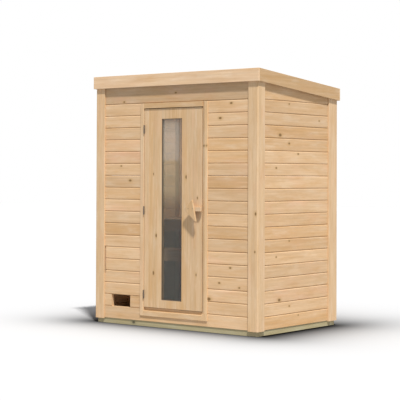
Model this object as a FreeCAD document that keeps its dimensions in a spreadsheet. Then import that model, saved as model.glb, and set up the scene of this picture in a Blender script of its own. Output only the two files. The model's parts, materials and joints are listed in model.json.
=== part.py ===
import FreeCAD, Part
import Sketcher
import os

# Outdoor sauna cabin of solid planks between four corner posts.
# Millimetres. X to the right, Y to the rear, Z up, origin on the ground under the middle.

# Driving sizes
SIZES = {
    "cabin_width": 1966,
    "cabin_depth": 1320,
    "front_height": 2374,
    "roof_fall": 115,
    "board_cover": 115.7,
    "board_base": 53,
    "groove_half": 7,
    "groove_deep": 6,
    "wall_thick": 38,
    "wall_setback": 13,
    "post_size": 110,
    "post_rear_deep": 148,
    "post_round": 10,
    "post_slot": 15,
    "post_foot": 45,
    "beam_width": 80,
    "beam_setback": 20,
    "joist_width": 45,
    "joist_spacing": 450,
    "floor_thick": 22,
    "floor_gap": 2,
    "deck_thick": 19,
    "felt_thick": 3,
    "rafter_width": 45,
    "rafter_depth": 70,
    "rafter_spacing": 640,
    "fascia_height": 118,
    "fascia_thick": 20,
    "fascia_rise": 16,
    "door_left": 573,
    "door_width": 816,
    "door_sill_base": 102,
    "door_head_drop": 240,
    "jamb_left_wide": 43,
    "jamb_right_wide": 60,
    "bevel_wide": 30,
    "bevel_deep": 12,
    "head_height": 49,
    "sill_height": 65,
    "frame_depth": 72,
    "frame_proud": 10,
    "gap_hinge": 5,
    "gap_latch": 8,
    "gap_top": 6,
    "gap_bottom": 20,
    "gap_stop": 5,
    "stop_wide": 17,
    "stop_joint": 0.5,
    "leaf_thick": 40,
    "leaf_recess": 9,
    "light_left": 212,
    "light_width": 247,
    "rail_bottom_height": 76,
    "rail_top_height": 98,
    "glass_thick": 8,
    "glass_inset": 14,
    "rebate": 10,
    "bead_gap": 1,
    "vent_left": 200,
    "vent_width": 244,
    "hinge_height": 80,
    "hinge_low_rise": 121,
    "hinge_mid_rise": 922,
    "hinge_high_drop": 193,
    "pin_ahead": 5.5,
    "pin_beside": 2,
    "pin_radius": 2,
    "pin_play": 0.3,
    "knuckle_radius": 5,
    "knuckle_gap": 0.6,
    "hinge_plate": 2.5,
    "hinge_plate_deep": 32,
    "handle_height": 1133,
    "handle_standoff": 40,
    "handle_thick": 20,
    "handle_inset": 24,
    "handle_reach": 170,
    "handle_slant": 72,
    "handle_rise": 90,
    "handle_drop": 127,
    "handle_round": 6,
    "block_height": 40,
    "block_inset": 110,
    "block_over": 14,
    "block_clear": 6,
    "grip_wide": 30,
    "grip_height": 160,
    "grip_thick": 35,
    "grip_inset": 60,
    "slat_thick": 28,
    "slat_gap": 12,
    "bench_upper": 1000,
    "bench_upper_deep": 450,
    "bench_lower": 715,
    "bench_lower_deep": 260,
    "bench_clear": 3,
    "apron_height": 90,
    "apron_thick": 28,
    "ledger_width": 28,
    "ledger_height": 58,
}

doc = FreeCAD.newDocument("sauna_cabin")
sheet = doc.addObject("Spreadsheet::Sheet", "Size")
for row, (alias, value) in enumerate(SIZES.items(), start=1):
    sheet.set(f"A{row}", alias)
    sheet.set(f"B{row}", str(value))
    sheet.setAlias(f"B{row}", alias)
doc.recompute()

parts = []


# Expressions that several pieces share
def size(alias):
    return f"Size.{alias}"


LEFT = "(-Size.cabin_width / 2)"
RIGHT = "(Size.cabin_width / 2)"
FRONT = "(-Size.cabin_depth / 2)"
REAR = "(Size.cabin_depth / 2)"
WALL_IN = "(Size.wall_setback + Size.wall_thick)"
FRONT_WALL = f"({FRONT} + Size.wall_setback)"
FRONT_INSIDE = f"({FRONT} + {WALL_IN})"
REAR_INSIDE = f"({REAR} - {WALL_IN})"
LEFT_INSIDE = f"({LEFT} + {WALL_IN})"
RIGHT_INSIDE = f"({RIGHT} - {WALL_IN})"
POST_REACH = "(Size.post_size - Size.post_slot)"
REAR_POST_REACH = "(Size.post_rear_deep - Size.post_slot)"
DOOR_LEFT = f"({LEFT} + Size.door_left)"
DOOR_RIGHT = f"({DOOR_LEFT} + Size.door_width)"
FRAME_FACE = f"({FRONT_WALL} - Size.frame_proud)"
LEAF_FACE = f"({FRAME_FACE} + Size.leaf_recess)"
LEAF_BACK = f"({LEAF_FACE} + Size.leaf_thick)"
LEAF_LEFT = f"({DOOR_LEFT} + Size.jamb_left_wide + Size.gap_hinge)"
LEAF_RIGHT = f"({DOOR_RIGHT} - Size.jamb_right_wide - Size.gap_latch)"
SILL_TOP = "(Size.door_sill_base + Size.sill_height)"
HEAD_TOP = "(Size.front_height - Size.door_head_drop)"
HEAD_BASE = f"({HEAD_TOP} - Size.head_height)"
LEAF_BASE = f"({SILL_TOP} + Size.gap_bottom)"
LEAF_TOP = f"({HEAD_BASE} - Size.gap_top)"
LIGHT_LEFT = f"({LEAF_LEFT} + Size.light_left)"
LIGHT_RIGHT = f"({LIGHT_LEFT} + Size.light_width)"
LIGHT_BASE = f"({LEAF_BASE} + Size.rail_bottom_height)"
LIGHT_TOP = f"({LEAF_TOP} - Size.rail_top_height)"
GLASS_FACE = f"({LEAF_FACE} + Size.glass_inset)"
GLASS_BACK = f"({GLASS_FACE} + Size.glass_thick)"
PIN_X = f"({LEAF_LEFT} + Size.pin_beside)"
PIN_Y = f"({FRAME_FACE} - Size.pin_ahead)"
BEAM_TOP = size("board_base")
VENT_BASE = "(Size.board_base + Size.board_cover)"
VENT_TOP = "(Size.board_base + 2 * Size.board_cover)"
VENT_LEFT = f"({LEFT} + Size.vent_left)"
VENT_RIGHT = f"({VENT_LEFT} + Size.vent_width)"


def deck_under(y):
    return f"(Size.front_height - Size.roof_fall * (({y}) - {FRONT}) / Size.cabin_depth)"


FRONT_WALL_TOP = deck_under(FRONT_INSIDE)


# Ways of making a piece
def bind(obj, prop, expression):
    obj.setExpression(prop, expression)


def place(obj, x, y, z):
    for axis, expression in zip("xyz", (x, y, z)):
        bind(obj, f"Placement.Base.{axis}", expression)


def keep(obj, label):
    obj.Label = label
    parts.append(obj)
    return obj


def block(label, x, y, z, last=True):
    """A box from pairs of lowest and highest places on each axis."""
    box = doc.addObject("Part::Box", label)
    for prop, (low, high) in zip(("Length", "Width", "Height"), (x, y, z)):
        bind(box, prop, f"({high}) - ({low})")
    place(box, x[0], y[0], z[0])
    return keep(box, label) if last else box


def cut(label, base, tool):
    result = doc.addObject("Part::Cut", label)
    result.Base = base
    result.Tool = tool
    return keep(result, label)


def join(label, shapes):
    result = doc.addObject("Part::Compound", label)
    result.Links = shapes
    return keep(result, label)


def fuse(label, shapes):
    result = doc.addObject("Part::MultiFuse", label)
    result.Shapes = shapes
    return result


def sketch_on(body, role, loops, label):
    """Closed outlines on one of the body's own planes, each corner held by two bound distances."""
    sketch = body.newObject("Sketcher::SketchObject", label)
    planes = [item for item in body.Origin.OriginFeatures if item.Role == role]
    sketch.AttachmentSupport = (planes[0], [""])
    sketch.MapMode = "FlatFace"
    for loop in loops:
        first = sketch.GeometryCount
        count = len(loop)
        ring = [FreeCAD.Vector(100, 0, 0), FreeCAD.Vector(0, 100, 0), FreeCAD.Vector(-100, 0, 0)]
        ring += [FreeCAD.Vector(-100, -100 * step, 0) for step in range(1, count - 2)]
        for corner in range(count):
            sketch.addGeometry(Part.LineSegment(ring[corner], ring[(corner + 1) % count]), False)
        for corner in range(count):
            line = first + corner
            following = first + (corner + 1) % count
            sketch.addConstraint(Sketcher.Constraint("Coincident", line, 2, following, 1))
        for corner, (across, along) in enumerate(loop):
            line = first + corner
            for kind, value, expression in (
                ("DistanceX", ring[corner].x, across),
                ("DistanceY", ring[corner].y, along),
            ):
                index = sketch.addConstraint(Sketcher.Constraint(kind, -1, 1, line, 1, value))
                bind(sketch, f"Constraints[{index}]", expression)
    return sketch


def padded(label, role, loops, length):
    body = doc.addObject("PartDesign::Body", label)
    sketch = sketch_on(body, role, loops, f"{label}_outline")
    pad = body.newObject("PartDesign::Pad", f"{label}_pad")
    pad.Profile = sketch
    bind(pad, "Length", length)
    body.Tip = pad
    return body


def pocket(body, label, role, loops, depth):
    """A pocket cut along the normal of one of the body's own planes."""
    before = body.Shape.Volume
    sketch = sketch_on(body, role, loops, f"{label}_outline")
    hollow = body.newObject("PartDesign::Pocket", label)
    hollow.Profile = sketch
    hollow.Reversed = True
    bind(hollow, "Length", depth)
    body.Tip = hollow
    doc.recompute()
    if body.Shape.Volume >= before:
        raise ValueError(f"{label} removes nothing")
    return hollow


def side_shape(label, y_low, y_high, base_low, base_high, top_low, top_high, x_low, x_high):
    """A slab seen from the side, with its own heights at the front and at the rear."""
    outline = [(y_low, base_low), (y_high, base_high), (y_high, top_high), (y_low, top_low)]
    body = padded(label, "YZ_Plane", [outline], f"({x_high}) - ({x_low})")
    bind(body, "Placement.Base.x", x_low)
    return body


def planked(label, first, count, length, low, tops, corner, turn):
    """A wall slab drawn from inside, with V grooves at the joints of its boards on the outer face."""
    body = doc.addObject("PartDesign::Body", label)
    outline = [("0", low), (length, low), (length, tops[1]), ("0", tops[0])]
    sketch = sketch_on(body, "XZ_Plane", [outline], f"{label}_outline")
    pad = body.newObject("PartDesign::Pad", f"{label}_pad")
    pad.Profile = sketch
    bind(pad, "Length", size("wall_thick"))
    body.Tip = pad
    doc.recompute()
    joint = f"(Size.board_base + {first} * Size.board_cover)"
    outside = "-Size.wall_thick - Size.groove_deep"
    groove = [
        ("Size.groove_deep - Size.wall_thick", joint),
        (outside, f"{joint} + 2 * Size.groove_half"),
        (outside, f"{joint} - 2 * Size.groove_half"),
    ]
    cutter = pocket(body, f"{label}_groove", "YZ_Plane", [groove], length)
    if count != "1":
        before = body.Shape.Volume
        rows = body.newObject("PartDesign::LinearPattern", f"{label}_grooves")
        rows.Originals = [cutter]
        upright = [item for item in body.Origin.OriginFeatures if item.Role == "Z_Axis"]
        rows.Direction = (upright[0], [""])
        bind(rows, "Occurrences", count)
        bind(rows, "Length", f"({count} - 1) * Size.board_cover")
        body.Tip = rows
        doc.recompute()
        if body.Shape.Volume >= before:
            raise ValueError(f"{label} has only one groove")
    body.Placement.Rotation = FreeCAD.Rotation(FreeCAD.Vector(0, 0, 1), turn)
    for axis, expression in zip("xy", corner):
        bind(body, f"Placement.Base.{axis}", expression)
    return body


# Base: four beams, joists between them and the floor boards
def build_base():
    front = (f"{FRONT} + Size.beam_setback", f"{FRONT} + Size.beam_setback + Size.beam_width")
    rear = (f"{REAR} - Size.beam_setback - Size.beam_width", f"{REAR} - Size.beam_setback")
    across = (f"{LEFT} + Size.beam_setback", f"{RIGHT} - Size.beam_setback")
    level = ("0", BEAM_TOP)
    block("base_beam_front", across, front, level)
    block("base_beam_rear", across, rear, level)
    between = (front[1], rear[0])
    block("base_beam_left", (across[0], f"{across[0]} + Size.beam_width"), between, level)
    block("base_beam_right", (f"{across[1]} - Size.beam_width", across[1]), between, level)
    joists = []
    for step in (-1, 0, 1):
        middle = f"{step} * Size.joist_spacing"
        sides = (f"{middle} - Size.joist_width / 2", f"{middle} + Size.joist_width / 2")
        joists.append(block(f"joist_{step + 2}", sides, between, level, last=False))
    join("floor_joists", joists)
    wall_x = (f"{LEFT_INSIDE} + Size.floor_gap", f"{RIGHT_INSIDE} - Size.floor_gap")
    wall_y = (f"{FRONT_INSIDE} + Size.floor_gap", f"{REAR_INSIDE} - Size.floor_gap")
    post_x = (f"{LEFT} + Size.post_size + Size.floor_gap", f"{RIGHT} - Size.post_size - Size.floor_gap")
    post_y = (f"{FRONT} + Size.post_size + Size.floor_gap", f"{REAR} - Size.post_rear_deep - Size.floor_gap")
    outline = [
        (post_x[0], wall_y[0]), (post_x[1], wall_y[0]), (post_x[1], post_y[0]), (wall_x[1], post_y[0]),
        (wall_x[1], post_y[1]), (post_x[1], post_y[1]), (post_x[1], wall_y[1]), (post_x[0], wall_y[1]),
        (post_x[0], post_y[1]), (wall_x[0], post_y[1]), (wall_x[0], post_y[0]), (post_x[0], post_y[0]),
    ]
    floor = padded("floor_boards", "XY_Plane", [outline], size("floor_thick"))
    bind(floor, "Placement.Base.z", BEAM_TOP)
    keep(floor, "floor_boards")


# Corner posts: slots take the planks, a notch sits over the beams, and the outer edge is rounded
def build_post(label, at_right, at_rear):
    wide = size("post_size")
    deep = size("post_rear_deep") if at_rear else wide
    reach = REAR_POST_REACH if at_rear else POST_REACH
    x_low = f"{RIGHT} - {wide}" if at_right else LEFT
    y_low = f"{REAR} - {deep}" if at_rear else FRONT
    y_high = f"{y_low} + {deep}"
    top_low = f"{deck_under(y_low)} - Size.post_foot"
    top_high = f"{deck_under(y_high)} - Size.post_foot"
    outline = [("0", "0"), (deep, "0"), (deep, top_high), ("0", top_low)]
    body = padded(label, "YZ_Plane", [outline], wide)
    place(body, x_low, y_low, size("post_foot"))
    doc.recompute()

    def across(value):
        return f"{wide} - ({value})" if at_right else value

    def along(value):
        return f"{deep} - ({value})" if at_rear else value

    def rectangle(u_low, u_high, v_low, v_high):
        corners = [(u_low, v_low), (u_high, v_low), (u_high, v_high), (u_low, v_high)]
        return [(across(u), along(v)) for u, v in corners]

    slots = [
        rectangle(POST_REACH, wide, size("wall_setback"), WALL_IN),
        rectangle(size("wall_setback"), WALL_IN, reach, deep),
    ]
    pocket(body, f"{label}_slots", "XY_Plane", slots, size("front_height"))
    notch = [rectangle(size("beam_setback"), wide, size("beam_setback"), deep)]
    pocket(body, f"{label}_notch", "XY_Plane", notch, "Size.board_base - Size.post_foot")
    corner_x = SIZES["post_size"] if at_right else 0
    corner_y = SIZES["post_rear_deep"] if at_rear else 0
    base = body.Tip
    found = []
    for number, edge in enumerate(base.Shape.Edges, start=1):
        first = edge.Vertexes[0].Point
        last = edge.Vertexes[-1].Point
        on_corner = all(abs(p.x - corner_x) + abs(p.y - corner_y) < 0.01 for p in (first, last))
        if on_corner and abs(first.z - last.z) > 1:
            found.append(f"Edge{number}")
    rounding = body.newObject("PartDesign::Fillet", f"{label}_rounding")
    rounding.Base = (base, found)
    bind(rounding, "Radius", size("post_round"))
    body.Tip = rounding
    keep(body, label)


# Walls of planks. The top board is whole, so two joints fewer than boards carry a groove
def build_walls():
    front_y = (FRONT_WALL, FRONT_INSIDE)
    left_x = f"{LEFT} + {POST_REACH}"
    right_x = f"{RIGHT} - {POST_REACH}"
    left_long = f"{DOOR_LEFT} - ({left_x})"
    corner = (left_x, FRONT_INSIDE)
    joints = "(floor((Size.front_height - Size.board_base) / Size.board_cover) - 2)"
    flat = (FRONT_WALL_TOP, FRONT_WALL_TOP)

    foot = planked("front_wall_vent_foot", 1, "1", left_long, BEAM_TOP, (VENT_BASE, VENT_BASE), corner, 0)
    keep(foot, "front_wall_vent_foot")
    pieces = []
    for label, start, end in (("vent_board_left", left_x, VENT_LEFT), ("vent_board_right", VENT_RIGHT, DOOR_LEFT)):
        pieces.append(planked(label, 1, "2", f"({end}) - ({start})", VENT_BASE, (VENT_TOP, VENT_TOP),
                              (start, FRONT_INSIDE), 0))
    join("front_wall_vent_board", pieces)
    above = planked("front_wall_left", 2, f"({joints} - 1)", left_long, VENT_TOP, flat, corner, 0)
    keep(above, "front_wall_left")
    latch = planked("front_wall_right", 1, joints, f"{right_x} - {DOOR_RIGHT}", BEAM_TOP, flat,
                    (DOOR_RIGHT, FRONT_INSIDE), 0)
    keep(latch, "front_wall_right")
    door_x = (DOOR_LEFT, DOOR_RIGHT)
    block("front_wall_over_door", door_x, front_y, (HEAD_TOP, FRONT_WALL_TOP))
    block("front_wall_under_door", door_x, front_y, (BEAM_TOP, size("door_sill_base")))

    whole = f"{right_x} - ({left_x})"
    rear_top = deck_under(f"{REAR} - Size.wall_setback")
    rear = planked("rear_wall", 1, joints, whole, BEAM_TOP, (rear_top, rear_top), (right_x, REAR_INSIDE), 180)
    keep(rear, "rear_wall")
    low = f"{FRONT} + {POST_REACH}"
    high = f"{REAR} - {REAR_POST_REACH}"
    tops = (deck_under(low), deck_under(high))
    side_long = f"{high} - ({low})"
    left = planked("left_wall", 1, joints, side_long, BEAM_TOP, tops[::-1], (LEFT_INSIDE, high), -90)
    keep(left, "left_wall")
    right = planked("right_wall", 1, joints, side_long, BEAM_TOP, tops, (RIGHT_INSIDE, low), 90)
    keep(right, "right_wall")


# Roof: rafters, boards and felt that fall to the rear, and four fascia boards round them
def build_roof():
    rafters = []
    low = FRONT_INSIDE
    high = REAR_INSIDE
    for step in (-1, 0, 1):
        middle = f"{step} * Size.rafter_spacing"
        heights = (
            f"{deck_under(low)} - Size.rafter_depth",
            f"{deck_under(high)} - Size.rafter_depth",
            deck_under(low),
            deck_under(high),
        )
        sides = (f"{middle} - Size.rafter_width / 2", f"{middle} + Size.rafter_width / 2")
        rafters.append(side_shape(f"rafter_{step + 2}", low, high, *heights, *sides))
    join("roof_rafters", rafters)
    layers = (("roof_boards", "0", size("deck_thick")),
              ("roof_felt", size("deck_thick"), "(Size.deck_thick + Size.felt_thick)"))
    for label, under, over in layers:
        heights = [f"{deck_under(y)} + {rise}" for rise in (under, over) for y in (FRONT, REAR)]
        keep(side_shape(label, FRONT, REAR, *heights, LEFT, RIGHT), label)
    rise = "(Size.deck_thick + Size.felt_thick + Size.fascia_rise)"
    drop = f"({rise} - Size.fascia_height)"
    across = (f"{LEFT} - Size.fascia_thick", f"{RIGHT} + Size.fascia_thick")
    for label, y, face in (("fascia_front", (f"{FRONT} - Size.fascia_thick", FRONT), FRONT),
                           ("fascia_rear", (REAR, f"{REAR} + Size.fascia_thick"), REAR)):
        level = (f"({deck_under(face)} + {drop})", f"({deck_under(face)} + {rise})")
        block(label, across, y, level)
    heights = [f"{deck_under(y)} + {part}" for part in (drop, rise) for y in (FRONT, REAR)]
    keep(side_shape("fascia_left", FRONT, REAR, *heights, across[0], LEFT), "fascia_left")
    keep(side_shape("fascia_right", FRONT, REAR, *heights, RIGHT, across[1]), "fascia_right")


# Door frame and the strips that the leaf closes against
def build_frame():
    depth = (FRAME_FACE, f"{FRAME_FACE} + Size.frame_depth")
    tall = (size("door_sill_base"), HEAD_TOP)
    inner = (f"{DOOR_LEFT} + Size.jamb_left_wide", f"{DOOR_RIGHT} - Size.jamb_right_wide")
    block("door_jamb_left", (DOOR_LEFT, inner[0]), depth, tall)
    bevelled = [
        (inner[1], f"{depth[0]} + Size.bevel_deep"), (f"{inner[1]} + Size.bevel_wide", depth[0]),
        (DOOR_RIGHT, depth[0]), (DOOR_RIGHT, depth[1]), (inner[1], depth[1]),
    ]
    jamb = padded("door_jamb_right", "XY_Plane", [bevelled], f"{tall[1]} - {tall[0]}")
    bind(jamb, "Placement.Base.z", tall[0])
    keep(jamb, "door_jamb_right")
    block("door_head", inner, depth, (HEAD_BASE, tall[1]))
    block("door_sill", inner, depth, (tall[0], SILL_TOP))
    behind = (f"{LEAF_BACK} + Size.gap_stop", depth[1])
    level = (SILL_TOP, HEAD_BASE)
    left_x = (inner[0], f"{inner[0]} + Size.stop_wide")
    right_x = (f"{inner[1]} - Size.stop_wide", inner[1])
    between = (f"{left_x[1]} + Size.stop_joint", f"{right_x[0]} - Size.stop_joint")
    strips = [
        block("stop_left", left_x, behind, level, last=False),
        block("stop_right", right_x, behind, level, last=False),
        block("stop_top", between, behind, (f"{HEAD_BASE} - Size.stop_wide", HEAD_BASE), last=False),
    ]
    join("door_stops", strips)


# Door leaf: two stiles and two rails round a tall narrow light
def build_leaf():
    depth = (LEAF_FACE, LEAF_BACK)
    rebate_y = (GLASS_FACE, LEAF_BACK)
    rebate_x = (f"{LIGHT_LEFT} - Size.rebate", f"{LIGHT_RIGHT} + Size.rebate")
    rebate_z = (f"{LIGHT_BASE} - Size.rebate", f"{LIGHT_TOP} + Size.rebate")
    tall = (LEAF_BASE, LEAF_TOP)
    bounds = {
        "door_stile_left": ((LEAF_LEFT, LIGHT_LEFT), tall),
        "door_stile_right": ((LIGHT_RIGHT, LEAF_RIGHT), tall),
        "door_rail_top": ((LIGHT_LEFT, LIGHT_RIGHT), (LIGHT_TOP, LEAF_TOP)),
        "door_rail_bottom": ((LIGHT_LEFT, LIGHT_RIGHT), (LEAF_BASE, LIGHT_BASE)),
    }
    for label, (x, z) in bounds.items():
        board = block(f"{label}_board", x, depth, z, last=False)
        rebate = block(f"{label}_rebate", rebate_x, rebate_y, rebate_z, last=False)
        cut(label, board, rebate)
    block("door_glass", rebate_x, (GLASS_FACE, GLASS_BACK), rebate_z)
    bead_y = (GLASS_BACK, LEAF_BACK)
    between = (f"{LIGHT_LEFT} + Size.bead_gap", f"{LIGHT_RIGHT} - Size.bead_gap")
    beads = [
        block("bead_left", (rebate_x[0], LIGHT_LEFT), bead_y, rebate_z, last=False),
        block("bead_right", (LIGHT_RIGHT, rebate_x[1]), bead_y, rebate_z, last=False),
        block("bead_top", between, bead_y, (LIGHT_TOP, rebate_z[1]), last=False),
        block("bead_bottom", between, bead_y, (rebate_z[0], LIGHT_BASE), last=False),
    ]
    join("door_glazing_beads", beads)


# Three hinges with plates in the gap: lower knuckle and pin on the jamb, upper knuckle on the leaf
def cylinder(label, radius, low, high):
    solid = doc.addObject("Part::Cylinder", label)
    bind(solid, "Radius", radius)
    bind(solid, "Height", f"({high}) - ({low})")
    place(solid, PIN_X, PIN_Y, low)
    return solid


def hinge_halves(name, middle):
    low = f"{middle} - Size.hinge_height / 2"
    high = f"{middle} + Size.hinge_height / 2"
    under = f"{middle} - Size.knuckle_gap / 2"
    over = f"{middle} + Size.knuckle_gap / 2"
    jamb_face = f"{LEAF_LEFT} - Size.gap_hinge"
    jamb_plate = block(f"{name}_jamb_plate", (jamb_face, f"{jamb_face} + Size.hinge_plate"),
                       (PIN_Y, f"{PIN_Y} + Size.hinge_plate_deep"), (low, under), last=False)
    knuckle = cylinder(f"{name}_low_knuckle", size("knuckle_radius"), low, under)
    pin = cylinder(f"{name}_pin", size("pin_radius"), low, high)
    fixed = fuse(f"{name}_fixed", [jamb_plate, knuckle, pin])
    door_plate = block(f"{name}_door_plate", (f"{LEAF_LEFT} - Size.hinge_plate", LEAF_LEFT),
                       (PIN_Y, f"{PIN_Y} + Size.hinge_plate_deep"), (over, high), last=False)
    barrel = cylinder(f"{name}_high_knuckle", size("knuckle_radius"), over, high)
    bore = cylinder(f"{name}_bore", "Size.pin_radius + Size.pin_play",
                    f"{middle} - Size.hinge_height", f"{middle} + Size.hinge_height")
    moving = doc.addObject("Part::Cut", f"{name}_moving")
    moving.Base = fuse(f"{name}_door_half", [door_plate, barrel])
    moving.Tool = bore
    return fixed, moving


def build_hinges():
    places = {
        "hinge_low": f"({LEAF_BASE} + Size.hinge_low_rise)",
        "hinge_mid": f"({LEAF_BASE} + Size.hinge_mid_rise)",
        "hinge_high": f"({LEAF_TOP} - Size.hinge_high_drop)",
    }
    halves = [hinge_halves(name, middle) for name, middle in places.items()]
    join("hinge_frame_halves", [fixed for fixed, moving in halves])
    join("hinge_door_halves", [moving for fixed, moving in halves])


# Handle: a pointed plate on a block that reaches over the jamb, and a plain grip inside
def build_handle():
    middle = size("handle_height")
    outline = [
        (f"{LEAF_RIGHT} - Size.handle_reach", middle),
        (f"{LEAF_RIGHT} - Size.handle_inset", f"{middle} - Size.handle_drop"),
        (f"{LEAF_RIGHT} - Size.handle_slant", f"{middle} + Size.handle_rise"),
    ]
    body = padded("door_handle_plate", "XZ_Plane", [outline], size("handle_thick"))
    bind(body, "Placement.Base.y", f"{LEAF_FACE} - Size.handle_standoff")
    doc.recompute()
    base = body.Tip
    edges = []
    for number, edge in enumerate(base.Shape.Edges, start=1):
        direction = edge.tangentAt(edge.FirstParameter)
        if abs(direction.y) > 0.99:
            edges.append(f"Edge{number}")
    rounding = body.newObject("PartDesign::Fillet", "door_handle_rounding")
    rounding.Base = (base, edges)
    bind(rounding, "Radius", size("handle_round"))
    body.Tip = rounding
    keep(body, "door_handle_plate")
    level = (f"{middle} - Size.block_height / 2", f"{middle} + Size.block_height / 2")
    front = f"{LEAF_FACE} - Size.handle_standoff"
    start = f"{LEAF_RIGHT} - Size.block_inset"
    foot = block("handle_foot", (start, LEAF_RIGHT), (front, LEAF_FACE), level, last=False)
    arm = block("handle_arm", (start, f"{LEAF_RIGHT} + Size.block_over"),
                (front, f"{FRAME_FACE} - Size.block_clear"), level, last=False)
    keep(fuse("door_handle_block", [foot, arm]), "door_handle_block")
    grip_x = f"{LEAF_RIGHT} - Size.grip_inset"
    block("door_inner_grip", (f"{grip_x} - Size.grip_wide", grip_x),
          (LEAF_BACK, f"{LEAF_BACK} + Size.grip_thick"),
          (f"{middle} - Size.grip_height / 2", f"{middle} + Size.grip_height / 2"))


# Two slatted benches across the rear of the room, on ledgers along the side walls
def build_benches():
    across = (f"{LEFT_INSIDE} + Size.bench_clear", f"{RIGHT_INSIDE} - Size.bench_clear")
    rear = f"({REAR} - Size.post_rear_deep - Size.bench_clear)"
    upper_front = f"({rear} - Size.bench_upper_deep)"
    lower_front = f"({upper_front} - Size.bench_lower_deep)"
    decks = (("upper_bench", 4, size("bench_upper_deep"), size("bench_upper"), upper_front, rear),
             ("lower_bench", 2, size("bench_lower_deep"), size("bench_lower"), lower_front, upper_front))
    ledgers = []
    for label, count, deep, top, front, back in decks:
        under = f"({top} - Size.slat_thick)"
        wide = f"(({deep} - {count - 1} * Size.slat_gap) / {count})"
        boards = [block(f"{label}_apron", across, (front, f"{front} + Size.apron_thick"),
                        (f"{under} - Size.apron_height", under), last=False)]
        for step in range(count):
            start = f"({front} + {step} * ({wide} + Size.slat_gap))"
            boards.append(block(f"{label}_slat_{step}", across, (start, f"{start} + {wide}"), (under, top),
                                last=False))
        join(label, boards)
        sides = ((LEFT_INSIDE, f"{LEFT_INSIDE} + Size.ledger_width"),
                 (f"{RIGHT_INSIDE} - Size.ledger_width", RIGHT_INSIDE))
        for number, side in enumerate(sides):
            ledgers.append(block(f"{label}_ledger_{number}", side,
                                 (f"{front} + Size.apron_thick", back),
                                 (f"{under} - Size.ledger_height", under), last=False))
    join("bench_ledgers", ledgers)


build_base()
for post_name, right_side, rear_side in (
    ("corner_post_front_left", False, False),
    ("corner_post_front_right", True, False),
    ("corner_post_rear_left", False, True),
    ("corner_post_rear_right", True, True),
):
    build_post(post_name, right_side, rear_side)
build_walls()
build_roof()
build_frame()
build_leaf()
build_hinges()
build_handle()
build_benches()

# Check every object and write one file for each piece
doc.recompute()
for obj in doc.Objects:
    if "Invalid" in obj.State or "Error" in obj.State:
        raise ValueError(f"{obj.Label} did not build: {obj.State}")
for piece in parts:
    if piece.Shape.isNull() or not piece.Shape.isValid():
        raise ValueError(f"{piece.Label} has no valid shape")
os.makedirs("parts", exist_ok=True)
for piece in parts:
    piece.Shape.exportStep(f"parts/{piece.Label}.step")
print(f"{len(parts)} pieces written")
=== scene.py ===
import json
import math
import random

import bmesh
import bpy
from mathutils import Matrix, Vector


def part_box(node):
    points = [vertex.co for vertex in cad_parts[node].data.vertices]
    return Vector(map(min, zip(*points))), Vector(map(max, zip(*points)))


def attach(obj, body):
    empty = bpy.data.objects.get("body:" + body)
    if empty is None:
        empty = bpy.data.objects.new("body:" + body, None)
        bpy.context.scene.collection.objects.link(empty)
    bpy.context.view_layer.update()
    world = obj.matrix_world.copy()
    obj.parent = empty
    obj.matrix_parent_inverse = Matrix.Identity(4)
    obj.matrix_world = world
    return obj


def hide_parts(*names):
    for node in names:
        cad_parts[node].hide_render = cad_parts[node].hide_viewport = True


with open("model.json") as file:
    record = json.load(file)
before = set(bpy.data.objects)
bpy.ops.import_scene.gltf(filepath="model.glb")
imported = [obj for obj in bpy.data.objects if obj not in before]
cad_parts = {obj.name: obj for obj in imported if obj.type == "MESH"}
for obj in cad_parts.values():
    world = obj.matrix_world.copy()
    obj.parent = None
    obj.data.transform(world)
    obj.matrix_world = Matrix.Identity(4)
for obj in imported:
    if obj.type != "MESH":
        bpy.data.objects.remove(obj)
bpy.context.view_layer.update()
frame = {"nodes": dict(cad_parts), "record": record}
scene = bpy.context.scene
nodes = frame["nodes"]

# All lengths and places are in metres. Axes by number:
X, Y, Z = 0, 1, 2

# Wall planks: courses, V grooves, hidden joint between two planks, tolerance of levels, play beside the vent
BOARD_COVER = 0.1157
BOARD_BASE = 0.053
TOP_COURSE = 18
GROOVE_HALF = 0.007
GROOVE_DEEP = 0.006
BOARD_JOINT = 0.0005
LEVEL_SLACK = 0.001
VENT_PLAY = 0.003

# Planks set back beside the front left post
RECESS_LOW = 0.487
RECESS_HIGH = 0.747
RECESS_END = -0.8580
RECESS_DEEP = 0.026

# Softened edges, the angles that count as sharp and as flat, and the segments of a bevel
SOFT_EDGE = 0.002
COPY_EDGE = 0.0015
BEAM_EDGE = 0.003
JAMB_EDGE = 0.003
BEAD_EDGE = 0.001
GRIP_EDGE = 0.003
PLATE_EDGE = 0.0035
SEAL_EDGE = 0.0008
POST_ROUND = 0.010
POST_ROUND_STEPS = 6
SHARP_ANGLE = 0.35
FLAT_ANGLE = math.radians(1)
WELD_DISTANCE = 1e-6
ROUNDED, CHAMFERED = 2, 1

# Boards laid side by side, and the lamellas of the leaf
FLOOR_BOARD = 0.095
ROOF_BOARD = 0.110
BOARD_GAP = 0.0015
LAMELLA = 0.058

# Door frame: bevel of the right jamb, rebate of the sill, strip under the leaf
BEVEL_WIDE = 0.030
BEVEL_DEEP = 0.012
REBATE_HIGH = 0.016
REBATE_DEEP = 0.022
THRESHOLD_HIGH = 0.016
THRESHOLD_PLAY = 0.001

# Seal round the glass
SEAL_WIDE = 0.006
SEAL_DEEP = 0.010

# Screws of the handle (x and height) and of the hinges
HANDLE_SCREWS = ((0.220, 1.138), (0.273, 1.138))
HANDLE_SCREW_RADIUS = 0.0045
HANDLE_SCREW_HIGH = 0.003
SCREW_PROUD = 0.0006
HINGE_LEAF = 0.0025
HINGE_SCREW_STEP = 0.011
HINGE_SCREW_INSET = 0.011
HINGE_SCREW_RADIUS = 0.0025
HINGE_SCREW_HIGH = 0.0008
HINGE_SCREW_SUNK = 0.0005
SCREW_SIDES = 20
SCREW_TAPER = 0.9

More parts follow.
